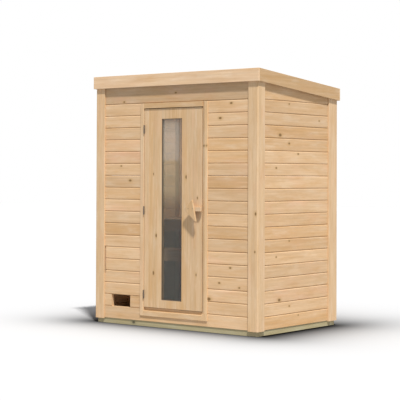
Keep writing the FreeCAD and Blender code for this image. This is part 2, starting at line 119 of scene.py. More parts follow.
# Knots that stand out in the photograph. On walls and leaf: place along X or Y, height, radius
KNOTS = {
    "front": [
        (0.673, 2.106, 0.007), (0.547, 1.972, 0.008), (0.667, 0.605, 0.006), (0.542, 0.462, 0.006),
        (0.421, 0.308, 0.011), (0.770, 0.429, 0.005), (-0.663, 1.534, 0.005), (-0.546, 1.394, 0.008),
        (-0.628, 2.156, 0.006), (0.019, 2.224, 0.006),
    ],
    "right": [
        (-0.148, 2.110, 0.005), (0.359, 1.970, 0.005), (-0.293, 1.819, 0.011), (-0.147, 1.744, 0.007),
        (0.002, 1.649, 0.006), (-0.355, 1.516, 0.006), (-0.143, 0.842, 0.005), (-0.352, 0.703, 0.005),
        (-0.302, 0.308, 0.010), (-0.140, 0.241, 0.005), (0.009, 0.146, 0.004),
    ],
}
LEAF_KNOTS = [
    (-0.254, 1.457, 0.006), (0.150, 1.430, 0.008), (0.282, 1.236, 0.006), (-0.213, 0.872, 0.008),
    (-0.248, 0.515, 0.009), (0.274, 0.522, 0.006),
]
BEAM_KNOTS = [(-0.500, 0.028, 0.009)]
# On upright timber: height, place along X, radius
POST_KNOTS = [(1.102, 0.959, 0.007), (0.761, 0.952, 0.005)]
JAMB_KNOTS = [(1.72, 0.352, 0.0042), (1.72, 0.376, 0.0042), (1.72, 0.399, 0.0042)]

# Knots drawn at random: chance of each, share of the board's width, radius, and where an absent one lies
KNOT_KEYS = ("knot_a", "knot_b", "knot_c")
WILD_KNOTS = 0.22
WILD_ACROSS = (0.2, 0.8)
WILD_RADIUS = (0.0025, 0.0050)
NO_KNOT = 50

# Tone of boards: 0 is dark, 1 is pale, and a few lie beyond. Ranges for those drawn at random
# Painted shade: a darker tone for the front's top planks under the fascia
PAINTED_SHADE_TONE = -0.9
POST_TONE = 0.8
FASCIA_TONE = 1.2
SIDE_FASCIA_TONE = -0.3
SIDE_FASCIA_OCHRE = 0.8
JAMB_TONE = 1.2
LEAF_TONES = (0.3, 0.8)
BLOCK_TONE = 0.2
PLATE_TONE = 0.05
LOWER_BENCH_TONE = 2.0
PINK_RANGE = (0, 0.9)
OCHRE_RANGE = (-0.5, 0.7)
GRAIN_OFFSET = (10, 90)

# Noises of the wood: scales along and across the grain, detail, roughness
WOOD_NOISES = {
    "broad": ((2.2, 22, 22), 3, 0.6),
    "streak": ((2.2, 70, 70), 4, 0.6),
    "fine": ((9, 420, 420), 2, 0.6),
    "blush": ((2.6, 6, 6), 2, 0.5),
    "patches": ((3.5, 16, 16), 4, 0.65),
}
# Range of a noise over which each layer of colour comes in, and the layer's tint and share
DARK_LIMITS = (0.3, 0.75)
PINK_LIMITS = (0.5, 0.75)
OCHRE_LIMITS = (0.1, 0.6)
OCHRE_TINT = (1.0, 0.93, 0.80)
PALE_LIMITS = (0.52, 0.72)
PALE_TINT = (1.06, 1.16, 1.32)
PALE_SHARE = 0.5
STAIN_LIMITS = (0.46, 0.26)
STAIN_TINT = (0.93, 0.82, 0.62)
STAIN_SHARE = 0.5
STREAK_LIMITS = (0.25, 0.75)
STREAK_SWING, STREAK_BASE = 0.20, 0.895
FINE_SWING, FINE_BASE = 0.10, 0.95
# Knots in the wood: stretch along the grain, then inner and outer share of the radius and strength
KNOT_STRETCH = (0.52, 0.83, 0.0)
KNOT_HALO = (1.0, 3.0, 0.55)
KNOT_CORE = (0.75, 1.35, 0.92)
KNOT_BROWN = (0.20, 0.115, 0.042)
KNOT_RING = (0.50, 0.31, 0.13)
WOOD_ROUGHNESS = 0.62
WOOD_SPECULAR = 0.25
WOOD_BUMP = (0.25, 0.0006)

# Metal, seal and felt: detail and roughness of their noise, its range, strength of the bump
SPECKLE_NOISE = (5, 0.6)
SPECKLE_LIMITS = (0.35, 0.65)
SPECKLE_BUMP = 0.5

# Glass: painted shade below, painted room light between two heights, a painted sky reflection above, painted
# shade in its right part
GLASS_PAINTED_SHADE = (0.06, 0.068, 0.055)
GLASS_PAINTED_ROOM_LIGHT = (0.28, 0.27, 0.18)
GLASS_PAINTED_SKY_REFLECTION = (0.43, 0.43, 0.375)
GLASS_PAINTED_SIDE_SHADE = (0.05, 0.04, 0.035)
ROOM_LIGHT_FROM = 1.20
ROOM_LIGHT_FULL = 1.36
SKY_REFLECTION_FROM = 1.575
SKY_REFLECTION_FULL = 1.600
SIDE_SHADE_FROM = 0.044
SIDE_SHADE_FULL = 0.052
SIDE_SHADE_SHARE = 0.70
RIPPLE_NOISE = (6.0, 2, 0.5)
RIPPLE_HIGH = 0.12
GLASS_ROUGHNESS = 0.03
GLASS_ALPHA = 0.35

# Camera at the photograph's place, found from the cabin's own edges. Angles in radians
CAMERA_PLACE = (7.864, -10.2222, 1.4447)
CAMERA_YAW = -0.6678
CAMERA_PITCH = 0.0175
CAMERA_ROLL = 0.0037
CAMERA_LENS = 118.36
CAMERA_SENSOR = 36
CAMERA_SHIFT = -0.1188
CAMERA_REACH = 100

# Light: a high sun from the front right, a lamp in the room, a pale sky
SUN_POWER = 4.5
SUN_ANGLE = 4
SUN_COLOUR = (1.0, 0.98, 0.95)
SUN_DIRECTION = (-1.2, 1.0, -2.7)
LAMP_POWER = 3.3
LAMP_SPREAD = 80
LAMP_SIZE = 0.3
LAMP_COLOUR = (1.0, 0.95, 0.88)
LAMP_PLACE = (0.55, 0.2, 2.1)
LAMP_DIRECTION = (-1.45, 0.15, -0.6)
SKY_COLOUR = (0.93, 0.96, 1.0, 1)
SKY_POWER = 0.43
WHITE = (1, 1, 1, 1)

# Floor: its tone for rays that light the cabin and for rays that show it, and the reach of the painted
# contact shadow
FLOOR_REACH = 40
FLOOR_LIT = (0.45, 0.45, 0.45)
FLOOR_SEEN = (0.615, 0.622, 0.635)
FLOOR_ROUGHNESS = 0.9
SHADOW_SIDE = 0.50
SHADOW_FRONT = 0.40
SHADOW_REAR = 0.68
SHADOW_POWER = 1.35
SHADOW_COLOUR = (0.0, 0.0, 0.0)


def node_box(name):
    low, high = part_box(name)
    return Vector(low), Vector(high)


def roof_plane():
    """Point and normal of the roof boards' underside, a plane through two CAD heights."""
    side_low, side_high = node_box("right_wall")
    rafter_low, rafter_high = node_box("roof_rafters")
    fall = (side_high.z - rafter_high.z) / (rafter_low.y - side_low.y)
    return Vector((0, side_low.y, side_high.z)), Vector((0, fall, 1)).normalized()


# Shader nodes
def node_tree(name):
    material = bpy.data.materials.new(name)
    material.use_nodes = True
    tree = material.node_tree
    tree.nodes.clear()
    output = tree.nodes.new("ShaderNodeOutputMaterial")
    shader = tree.nodes.new("ShaderNodeBsdfPrincipled")
    tree.links.new(shader.outputs[0], output.inputs[0])
    return material, tree, shader


def add(tree, kind, **settings):
    node = tree.nodes.new(kind)
    for key, value in settings.items():
        setattr(node, key, value)
    return node


def plug(tree, node, slot, value):
    """Give an input its value, or link it when the value is another node's output."""
    if isinstance(value, (int, float, tuple)):
        node.inputs[slot].default_value = value
    else:
        tree.links.new(value, node.inputs[slot])


def math_node(tree, operation, *values, clamp=False):
    node = add(tree, "ShaderNodeMath", operation=operation, use_clamp=clamp)
    for slot, value in enumerate(values):
        plug(tree, node, slot, value)
    return node.outputs[0]


def vector_node(tree, operation, *values):
    node = add(tree, "ShaderNodeVectorMath", operation=operation)
    for slot, value in enumerate(values):
        plug(tree, node, slot, value)
    return node.outputs["Value" if operation == "LENGTH" else "Vector"]


def split(tree, vector):
    """The three parts of a vector."""
    parts = add(tree, "ShaderNodeSeparateXYZ")
    tree.links.new(vector, parts.inputs[0])
    return parts.outputs


def noise(tree, vector, scale, detail, roughness):
    node = add(tree, "ShaderNodeTexNoise", noise_dimensions="3D")
    for slot, value in (("Vector", vector), ("Scale", scale), ("Detail", detail), ("Roughness", roughness)):
        plug(tree, node, slot, value)
    return node.outputs[0]


def mix_colour(tree, factor, first, second):
    node = add(tree, "ShaderNodeMix", data_type="RGBA", blend_type="MIX")
    tree.links.new(factor, node.inputs[0])
    for slot, value in ((6, first), (7, second)):
        plug(tree, node, slot, (*value, 1) if isinstance(value, tuple) else value)
    return node.outputs[2]


def spread(tree, value, low, high):
    """Stretch low..high to 0..1 and clamp it."""
    return math_node(tree, "MULTIPLY", math_node(tree, "SUBTRACT", value, low), 1 / (high - low), clamp=True)


def add_bump(tree, shader, height, strength, distance):
    bump = add(tree, "ShaderNodeBump")
    for slot, value in (("Strength", strength), ("Distance", distance), ("Height", height)):
        plug(tree, bump, slot, value)
    tree.links.new(bump.outputs[0], shader.inputs["Normal"])


def object_place(tree):
    return add(tree, "ShaderNodeTexCoord").outputs["Object"]


def attribute(tree, name):
    return add(tree, "ShaderNodeAttribute", attribute_name=name).outputs["Vector"]


def straight_look(tree):
    """1 for rays that show the surroundings to the camera, 0 for those that light the object."""
    path = add(tree, "ShaderNodeLightPath").outputs
    seen = math_node(tree, "ADD", path["Is Camera Ray"], path["Is Glossy Ray"], clamp=True)
    return math_node(tree, "ADD", seen, path["Is Transmission Ray"], clamp=True)


# Materials
def knot_mask(tree, grain, knot, inner, outer, strength):
    """Strength within the inner share of the knot's radius, 0 beyond the outer one."""
    away = vector_node(tree, "SUBTRACT", grain, knot)
    length = vector_node(tree, "LENGTH", vector_node(tree, "MULTIPLY", away, KNOT_STRETCH))
    ratio = math_node(tree, "DIVIDE", length, split(tree, knot)[2])
    mask = math_node(tree, "SUBTRACT", 1, spread(tree, ratio, inner, outer))
    return math_node(tree, "MULTIPLY", mask, strength)


def tinted(colour, tint):
    return tuple(channel * share for channel, share in zip(colour, tint))


def wood(name, light, dark, pink, tone_swing, knot=KNOT_BROWN, ring=KNOT_RING):
    """Spruce by the boards' attributes: place in the grain, tone (brightness, pink, ochre), three knots."""
    material, tree, shader = node_tree(name)
    grain = attribute(tree, "grain")
    brightness, pinkness, ochreness = split(tree, attribute(tree, "tone"))
    fields = {key: noise(tree, vector_node(tree, "MULTIPLY", grain, scale), 1, detail, roughness)
              for key, (scale, detail, roughness) in WOOD_NOISES.items()}
    colour = mix_colour(tree, spread(tree, fields["broad"], *DARK_LIMITS), light, dark)
    for field, limits, share, layer in (
        ("blush", PINK_LIMITS, pinkness, pink),
        ("broad", OCHRE_LIMITS, ochreness, tinted(dark, OCHRE_TINT)),
        ("patches", PALE_LIMITS, PALE_SHARE, tinted(light, PALE_TINT)),
        ("patches", STAIN_LIMITS, STAIN_SHARE, tinted(dark, STAIN_TINT)),
    ):
        factor = math_node(tree, "MULTIPLY", spread(tree, fields[field], *limits), share)
        colour = mix_colour(tree, factor, colour, layer)
    streak = spread(tree, fields["streak"], *STREAK_LIMITS)
    streaks = math_node(tree, "MULTIPLY_ADD", streak, STREAK_SWING, STREAK_BASE)
    fines = math_node(tree, "MULTIPLY_ADD", fields["fine"], FINE_SWING, FINE_BASE)
    level = math_node(tree, "MULTIPLY_ADD", brightness, 2 * tone_swing, 1 - tone_swing)
    shade = math_node(tree, "MULTIPLY", math_node(tree, "MULTIPLY", streaks, fines), level)
    grey = add(tree, "ShaderNodeCombineXYZ")
    for slot in range(3):
        tree.links.new(shade, grey.inputs[slot])
    colour = vector_node(tree, "MULTIPLY", colour, grey.outputs[0])
    for key in KNOT_KEYS:
        spot = attribute(tree, key)
        colour = mix_colour(tree, knot_mask(tree, grain, spot, *KNOT_HALO), colour, ring)
        colour = mix_colour(tree, knot_mask(tree, grain, spot, *KNOT_CORE), colour, knot)
    tree.links.new(colour, shader.inputs["Base Color"])
    shader.inputs["Roughness"].default_value = WOOD_ROUGHNESS
    shader.inputs["Specular IOR Level"].default_value = WOOD_SPECULAR
    add_bump(tree, shader, fields["streak"], *WOOD_BUMP)
    return material


def speckled(name, colour, other, scale, roughness, metallic=0.0, bump_depth=0.0005):
    material, tree, shader = node_tree(name)
    grains = noise(tree, object_place(tree), scale, *SPECKLE_NOISE)
    mixed = mix_colour(tree, spread(tree, grains, *SPECKLE_LIMITS), colour, other)
    tree.links.new(mixed, shader.inputs["Base Color"])
    shader.inputs["Roughness"].default_value = roughness
    shader.inputs["Metallic"].default_value = metallic
    add_bump(tree, shader, grains, SPECKLE_BUMP, bump_depth)
    return material


def glass_painted_light(name):
    """Glass whose colour paints the room's shade below, the room's light above it, a sky reflection in its
    upper part and shade at its right side.
    """
    material, tree, shader = node_tree(name)
    to_local = nodes["door_glass"].matrix_world.inverted()
    room_light_low, room_light_high, reflection_low, reflection_high = [
        (to_local @ Vector((0, 0, height))).z for height in (ROOM_LIGHT_FROM, ROOM_LIGHT_FULL, SKY_REFLECTION_FROM, SKY_REFLECTION_FULL)]
    side_shade_from, side_shade_full = [(to_local @ Vector((side, 0, 0))).x for side in (SIDE_SHADE_FROM, SIDE_SHADE_FULL)]
    place = object_place(tree)
    aside, _, height = split(tree, place)
    ripple = math_node(tree, "MULTIPLY", noise(tree, place, *RIPPLE_NOISE), RIPPLE_HIGH)
    # Painted light and shade on the glass: shade below, room light above a height, a sky reflection higher
    # up, shade at the right side
    room_light = spread(tree, math_node(tree, "ADD", height, ripple), room_light_low, room_light_high)
    side_shade = math_node(tree, "MULTIPLY", spread(tree, aside, side_shade_from, side_shade_full), SIDE_SHADE_SHARE)
    tint = mix_colour(tree, room_light, GLASS_PAINTED_SHADE, GLASS_PAINTED_ROOM_LIGHT)
    tint = mix_colour(tree, spread(tree, height, reflection_low, reflection_high), tint, GLASS_PAINTED_SKY_REFLECTION)
    tint = mix_colour(tree, side_shade, tint, GLASS_PAINTED_SIDE_SHADE)
    tree.links.new(tint, shader.inputs["Base Color"])
    shader.inputs["Roughness"].default_value = GLASS_ROUGHNESS
    shader.inputs["Alpha"].default_value = GLASS_ALPHA
    shader.inputs["Specular IOR Level"].default_value = 1.0
    return material


# Wood by its light, dark and pink tones, and how far the boards' brightness swings
SPRUCE = wood("spruce", (0.69, 0.48, 0.29), (0.61, 0.395, 0.212), (0.70, 0.43, 0.265), 0.07)
JOINERY = wood("spruce_joinery", (0.662, 0.472, 0.290), (0.58, 0.388, 0.214), (0.66, 0.42, 0.26), 0.07)
FASCIA = wood("spruce_fascia", (0.69, 0.50, 0.325), (0.61, 0.41, 0.245), (0.69, 0.45, 0.305), 0.07)
INSIDE = wood("inside_spruce", (0.60, 0.44, 0.29), (0.53, 0.37, 0.22), (0.60, 0.40, 0.26), 0.10)
TREATED = wood("treated_wood", (0.45, 0.41, 0.265), (0.375, 0.33, 0.20), (0.43, 0.375, 0.215), 0.10,
               knot=(0.09, 0.085, 0.05), ring=(0.22, 0.20, 0.12))
DARK_METAL = speckled("dark_metal", (0.13, 0.10, 0.08), (0.20, 0.16, 0.125), 180, 0.45, metallic=0.5)
SCREW_METAL = speckled("screw_metal", (0.14, 0.11, 0.08), (0.24, 0.19, 0.14), 300, 0.4, metallic=0.5)
SEAL = speckled("dark_seal", (0.085, 0.062, 0.045), (0.13, 0.10, 0.075), 240, 0.8)
FELT_COVER = speckled("felt_cover", (0.045, 0.048, 0.05), (0.10, 0.10, 0.10), 420, 0.95, bump_depth=0.001)
GLASS = glass_painted_light("glass_painted_light")


# Meshes
def mesh_box(mesh):
    """Lowest and highest corner of a mesh."""
    return [Vector([pick(vertex.co[i] for vertex in mesh.verts) for i in range(3)]) for pick in (min, max)]


class Piece:
    """One object of boards. Each board has its own grain, tone and knots, drawn from the piece's seed."""

    def __init__(self, name, seed):
        self.name = name
        self.random = random.Random(seed)
        self.vertices = []
        self.faces = []
        self.values = {key: [] for key in ("grain", "tone", *KNOT_KEYS)}

    def add_mesh(self, mesh, axis, knots=(), tone=None, wild=0.0, ochre=None, wide=None):
        """Append a mesh with its grain along an axis. Wild is the chance of each knot that isn't given."""
        start = len(self.vertices)
        offset = Vector([self.random.uniform(*GRAIN_OFFSET) for step in range(3)])
        tone = self.random.random() if tone is None else tone
        pink = self.random.uniform(*PINK_RANGE)
        ochre = max(0.0, self.random.uniform(*OCHRE_RANGE)) if ochre is None else ochre
        low, high = mesh_box(mesh)
        if wide is None:
            wide = max((i for i in range(3) if i != axis), key=lambda i: high[i] - low[i])
        deep = 3 - axis - wide
        spots = list(knots)
        while len(spots) < len(KNOT_KEYS):
            shown = self.random.random() < wild
            along = self.random.uniform(low[axis], high[axis]) if shown else low[axis] - NO_KNOT
            across = self.random.uniform(*WILD_ACROSS) * (high[wide] - low[wide]) + low[wide]
            spots.append((along, across, self.random.uniform(*WILD_RADIUS)))
        for vertex in mesh.verts:
            self.vertices.append(vertex.co.copy())
            self.values["grain"].append(Vector((vertex.co[axis], vertex.co[wide], vertex.co[deep])) + offset)
            self.values["tone"].append(Vector((tone, pink, ochre)))
            for key, (along, across, radius) in zip(KNOT_KEYS, spots):
                self.values[key].append(Vector((along + offset.x, across + offset.y, radius)))
        mesh.verts.index_update()
        for face in mesh.faces:
            self.faces.append([start + vertex.index for vertex in face.verts])
        mesh.free()

    def finish(self, material, body, replaced=()):
        data = bpy.data.meshes.new(self.name)
        data.from_pydata(self.vertices, [], self.faces)
        for key, values in self.values.items():
            layer = data.attributes.new(key, "FLOAT_VECTOR", "POINT")
            layer.data.foreach_set("vector", [part for value in values for part in value])
        data.materials.append(material)
        data.validate()
        piece = bpy.data.objects.new(self.name, data)
        scene.collection.objects.link(piece)
        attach(piece, body)
        if replaced:
            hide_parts(*replaced)


def extrude(outline, axis, low, high):
    """A closed outline in the two other axes, in X, Y, Z order, drawn out along one axis."""
    mesh = bmesh.new()
    others = [i for i in range(3) if i != axis]
    rings = []
    for end in (low, high):
        ring = []
        for first, second in outline:
            place = [0.0, 0.0, 0.0]
            place[axis] = end
            place[others[0]] = first
            place[others[1]] = second
            ring.append(mesh.verts.new(place))
        rings.append(ring)
    count = len(outline)
    for step in range(count):
        following = (step + 1) % count
        mesh.faces.new((rings[0][step], rings[0][following], rings[1][following], rings[1][step]))
    mesh.faces.new(rings[0][::-1])
    mesh.faces.new(rings[1])
    bmesh.ops.recalc_face_normals(mesh, faces=mesh.faces)
    return mesh


def bevel(mesh, edges, width, segments):
    bmesh.ops.bevel(mesh, geom=edges, offset=width, segments=segments, profile=0.5, affect="EDGES",
                    clamp_overlap=True)
    return mesh


def soft_box(low, high, edge=SOFT_EDGE):
    mesh = bmesh.new()
    size = Vector(high) - Vector(low)
    middle = (Vector(high) + Vector(low)) / 2
    bmesh.ops.create_cube(mesh, size=1, matrix=Matrix.Translation(middle) @ Matrix.Diagonal((*size, 1)))
    return bevel(mesh, mesh.edges, edge, ROUNDED)


def soften(mesh, width):
    """Bevel the sharp edges only."""
    sharp = [edge for edge in mesh.edges
             if len(edge.link_faces) == 2 and edge.calc_face_angle(0) > SHARP_ANGLE]
    return bevel(mesh, sharp, width, CHAMFERED)


def trim(mesh, point, normal):
    """Cut away what lies beyond a plane and close the cut."""
    geometry = mesh.verts[:] + mesh.edges[:] + mesh.faces[:]
    result = bmesh.ops.bisect_plane(mesh, geom=geometry, plane_co=point, plane_no=normal, clear_outer=True)
    edges = [item for item in result["geom_cut"] if isinstance(item, bmesh.types.BMEdge)]
    if edges:
        bmesh.ops.holes_fill(mesh, edges=edges, sides=0)
        bmesh.ops.recalc_face_normals(mesh, faces=mesh.faces)


def frame_islands(node):
    """Each loose solid of a CAD piece as a mesh of its own, in the frame's place, with flat faces joined."""
    whole = bmesh.new()
    whole.from_mesh(nodes[node].data)
    whole.transform(nodes[node].matrix_world)
    bmesh.ops.remove_doubles(whole, verts=whole.verts, dist=WELD_DISTANCE)
    bmesh.ops.dissolve_limit(whole, angle_limit=FLAT_ANGLE, verts=whole.verts, edges=whole.edges)
    islands = []
    met = set()
    for first in whole.faces:
        if first in met:
            continue
        met.add(first)
        reached = [first]
        for face in reached:
            for neighbour in [other for edge in face.edges for other in edge.link_faces]:
                if neighbour not in met:
                    met.add(neighbour)
                    reached.append(neighbour)
        island = bmesh.new()
        copies = {}
        for face in reached:
            for vertex in face.verts:
                if vertex not in copies:
                    copies[vertex] = island.verts.new(vertex.co)
            island.faces.new([copies[vertex] for vertex in face.verts])
        bmesh.ops.recalc_face_normals(island, faces=island.faces)
        islands.append(island)
    whole.free()
    return sorted(islands, key=lambda mesh: tuple(mesh_box(mesh)[0]))


def round_head(base, radius, height, along):
    """A flat screw head standing on a face."""
    mesh = bmesh.new()
    place = Matrix.Translation(base + along * height / 2) @ along.to_track_quat("Z", "Y").to_matrix().to_4x4()
    bmesh.ops.create_cone(mesh, cap_ends=True, segments=SCREW_SIDES, radius1=radius,
                          radius2=radius * SCREW_TAPER, depth=height, matrix=place)
    return mesh


# Ways to dress one CAD piece
def dress(node, seed, axis, material, edge=SOFT_EDGE, knots=(), tone=None, wide=None):
    """A board with softened edges in the CAD piece's box."""
    low, high = node_box(node)
    piece = Piece(f"{node}_board", seed)
    piece.add_mesh(soft_box(low, high, edge), axis, knots, tone, wide=wide)
    piece.finish(material, body="cabin", replaced=[node])


def dress_copy(node, seed, axis, material, body="cabin", edge=COPY_EDGE, tone=None):
    """Timber of the frame's own shape with softened edges, every loose solid a piece of wood of its own."""
    piece = Piece(f"{node}_timber", seed)
    for island in frame_islands(node):
        piece.add_mesh(soften(island, edge), axis, tone=tone)
    piece.finish(material, body, [node])


def dress_slices(node, seed, width, material):
    """Boards along X, cut side by side out of one CAD plate."""
    low, high = node_box(node)
    count = round((high.y - low.y) / width)
    step = (high.y - low.y) / count
    along = Vector((0, 1, 0))
    piece = Piece(f"{node}_laid", seed)
    for number in range(count):
        start = low.y + number * step
        mesh = frame_islands(node)[0]
        if number > 0:
            trim(mesh, along * (start + BOARD_GAP), -along)
        if number < count - 1:
            trim(mesh, along * (start + step - BOARD_GAP), along)
        piece.add_mesh(mesh, X, wild=WILD_KNOTS)
    piece.finish(material, "cabin", [node])


# Walls
def plank_outline(inner, low, high, outer, low_groove, high_groove):
    """Cross-section of a wall plank with a V chamfer on its outer edges and a small one inside."""
    turn = 1 if inner > outer else -1
    fine = SOFT_EDGE * turn
    deep = GROOVE_DEEP * turn
    foot = GROOVE_HALF if low_groove else 0.0
    head = GROOVE_HALF if high_groove else 0.0
    low += BOARD_JOINT if low_groove else 0.0
    high -= BOARD_JOINT if high_groove else 0.0
    return [
        (outer, low + foot), (outer + deep, low), (inner - fine, low), (inner, low + SOFT_EDGE),
        (inner, high - SOFT_EDGE), (inner - fine, high), (outer + deep, high), (outer, high - head),
    ]


def plank_strips(start, end, low, high, outer, low_groove, high_groove, set_back):
    """Parts of one plank, each as start, end and cross-section: one, or up to three at the recess."""
    if not set_back or low >= RECESS_HIGH - LEVEL_SLACK or high <= RECESS_LOW + LEVEL_SLACK:
        return [(start, end, low, high, outer, low_groove, high_groove)]
    foot = max(low, RECESS_LOW)
    strips = [(RECESS_END, end, low, high, outer, low_groove, high_groove),
              (start, RECESS_END, foot, high, outer + RECESS_DEEP, False, False)]
    if foot > low:
        strips.append((start, RECESS_END, low, foot, outer, low_groove, False))
    return strips


def planked(name, seed, node, axis, outer, inner, spans=None, side=None, set_back=False):
    """Planks in place of one CAD wall. Courses keep to the cabin's common levels, the top to its slope."""
    wall_low, wall_high = node_box(node)
    first = max(0, int((wall_low.z + LEVEL_SLACK - BOARD_BASE) / BOARD_COVER))
    piece = Piece(name, seed)
    for course in range(first, TOP_COURSE + 1):
        joint_low = BOARD_BASE + course * BOARD_COVER
        if joint_low >= wall_high.z - LEVEL_SLACK:
            break
        at_top = course == TOP_COURSE
        joint_high = wall_high.z if at_top else joint_low + BOARD_COVER
        low = max(wall_low.z, joint_low)
        high = min(wall_high.z, joint_high)
        grooves = (low == joint_low and course > 0, high == joint_high and not at_top)
        if at_top:
            piece.random.seed(f"{side} top")
        for start, end in spans or [(wall_low[axis], wall_high[axis])]:
            spots = [spot for spot in KNOTS.get(side, ()) if start < spot[0] < end and low < spot[1] < high]
            state = piece.random.getstate()
            strips = plank_strips(start, end, low, high, outer, *grooves, set_back)
            for strip_start, strip_end, *section in strips:
                piece.random.setstate(state)
                mesh = extrude(plank_outline(inner, *section), axis, strip_start, strip_end)
                trim(mesh, ROOF_POINT, ROOF_NORMAL)
                if not mesh.verts:
                    mesh.free()
                    continue
                # The front's top course takes the darker tone as painted shade under the fascia
                piece.add_mesh(mesh, axis, spots, PAINTED_SHADE_TONE if side == "front" and at_top else None,
                               wild=0.0 if side in KNOTS else WILD_KNOTS)
    piece.finish(SPRUCE, "cabin", [node])


def build_walls():
    """Four walls. Those of the front have the faces of the left bay, and one board leaves the vent open."""
    bay_low, bay_high = node_box("front_wall_left")
    bay = [(bay_low.x, bay_high.x)]
    board_low, board_high = node_box("front_wall_vent_board")
    openings = frame["record"]["physics"]["openings"]
    vent_low, vent_high = next(opening["box_m"] for opening in openings if opening["name"] == "vent_opening")
    beside_vent = [(board_low.x, vent_low[0] - VENT_PLAY), (vent_high[0] + VENT_PLAY, board_high.x)]
    for number, (part, node, spans) in enumerate((
        ("left", "left", bay), ("foot", "vent_foot", bay), ("vent", "vent_board", beside_vent),
        ("right", "right", None), ("over_door", "over_door", None), ("under_door", "under_door", None),
    )):
        planked(f"front_planks_{part}", 11 + number, f"front_wall_{node}", X, bay_low.y, bay_high.y, spans,
                "front", set_back=part == "left")
    low, high = node_box("rear_wall")
    planked("rear_planks", 17, "rear_wall", X, high.y, low.y)
    low, high = node_box("left_wall")
    planked("left_planks", 18, "left_wall", Y, low.x, high.x)
    low, high = node_box("right_wall")
    planked("right_planks", 19, "right_wall", Y, high.x, low.x, side="right")


# Posts, base and fascia
def post_outline(x_out, x_in, y_out, y_in):
    """Square timber with its outer corner rounded and the two beside it chamfered."""
    turn_x = 1 if x_in > x_out else -1
    turn_y = 1 if y_in > y_out else -1
    points = []
    for step in range(POST_ROUND_STEPS + 1):
        angle = math.pi / 2 * step / POST_ROUND_STEPS
        points.append((x_out + turn_x * POST_ROUND * (1 - math.sin(angle)),
                       y_out + turn_y * POST_ROUND * (1 - math.cos(angle))))
    return points + [
        (x_out, y_in - turn_y * SOFT_EDGE), (x_out + turn_x * SOFT_EDGE, y_in), (x_in, y_in),
        (x_in, y_out + turn_y * SOFT_EDGE), (x_in - turn_x * SOFT_EDGE, y_out),
    ]


def build_posts():
    for number, place in enumerate(("front_left", "front_right", "rear_left", "rear_right")):
        name = f"corner_post_{place}"
        low, high = node_box(name)
        x_out, x_in = (high.x, low.x) if "right" in place else (low.x, high.x)
        y_out, y_in = (high.y, low.y) if "rear" in place else (low.y, high.y)
        mesh = extrude(post_outline(x_out, x_in, y_out, y_in), Z, low.z, high.z)
        trim(mesh, ROOF_POINT, ROOF_NORMAL)
        piece = Piece(f"{name}_timber", 30 + number)
        piece.add_mesh(mesh, Z, POST_KNOTS if place == "front_right" else (), POST_TONE, ochre=0.0, wide=X)
        piece.finish(JOINERY, "cabin", [name])


def build_base():
    for number, (side, axis) in enumerate((("front", X), ("rear", X), ("left", Y), ("right", Y))):
        dress(f"base_beam_{side}", 40 + number, axis, TREATED, BEAM_EDGE,
              BEAM_KNOTS if side == "front" else (), wide=Z)


def build_fascia():
    """Level boards in front and behind, sloping ones on the sides."""
    dress("fascia_front", 50, X, FASCIA, tone=FASCIA_TONE)
    dress("fascia_rear", 51, X, JOINERY)
    front_low, front_high = node_box("fascia_front")
    rear_low, rear_high = node_box("fascia_rear")
    outline = [(front_high.y, front_low.z), (rear_low.y, rear_low.z), (rear_low.y, rear_high.z),
               (front_high.y, front_high.z)]
    for number, node in enumerate(("fascia_left", "fascia_right")):
        low, high = node_box(node)
        mesh = extrude(outline, X, low.x, high.x)
        bevel(mesh, mesh.edges, SOFT_EDGE, ROUNDED)
        piece = Piece(f"{node}_board", 52 + number)
        piece.add_mesh(mesh, Y, tone=SIDE_FASCIA_TONE, ochre=SIDE_FASCIA_OCHRE)
        piece.finish(JOINERY, "cabin", [node])


# Door
def build_door_frame():
    dress("door_jamb_left", 60, Z, JOINERY, JAMB_EDGE)
    # The right jamb is bevelled above the sill and square beside it
    low, high = node_box("door_jamb_right")
    sill_top = node_box("door_sill")[1].z
    outline = [(low.x, low.y + BEVEL_DEEP), (low.x + BEVEL_WIDE, low.y), (high.x, low.y), (high.x, high.y),
               (low.x, high.y)]
    bevelled = soften(extrude(outline, Z, sill_top, high.z), SOFT_EDGE)
    piece = Piece("door_jamb_right_board", 61)
    piece.add_mesh(soft_box(low, (high.x, high.y, sill_top)), Z, tone=JAMB_TONE)
    piece.add_mesh(bevelled, Z, JAMB_KNOTS, JAMB_TONE, wide=X)
    piece.finish(JOINERY, "cabin", ["door_jamb_right"])
    dress("door_head", 62, X, JOINERY)
    # The sill has a rebate under the leaf
    low, high = node_box("door_sill")
    ledge, rebate_face = high.z - REBATE_HIGH, low.y + REBATE_DEEP
    outline = [(low.y, low.z), (low.y, ledge), (rebate_face, ledge), (rebate_face, high.z), (high.y, high.z),
               (high.y, low.z)]
    piece = Piece("door_sill_board", 63)
    piece.add_mesh(soften(extrude(outline, X, low.x, high.x), SOFT_EDGE), X)
    piece.finish(JOINERY, "cabin", ["door_sill"])
    dress_copy("door_stops", 64, Z, JOINERY)
    left = node_box("door_jamb_left")[1].x + THRESHOLD_PLAY
    right = node_box("door_jamb_right")[0].x - THRESHOLD_PLAY
    back = node_box("door_stops")[0].y - THRESHOLD_PLAY
    piece = Piece("threshold_strip", 65)
    piece.add_mesh(soft_box((left, rebate_face, sill_top), (right, back, sill_top + THRESHOLD_HIGH)), X)
    piece.finish(JOINERY, "cabin")


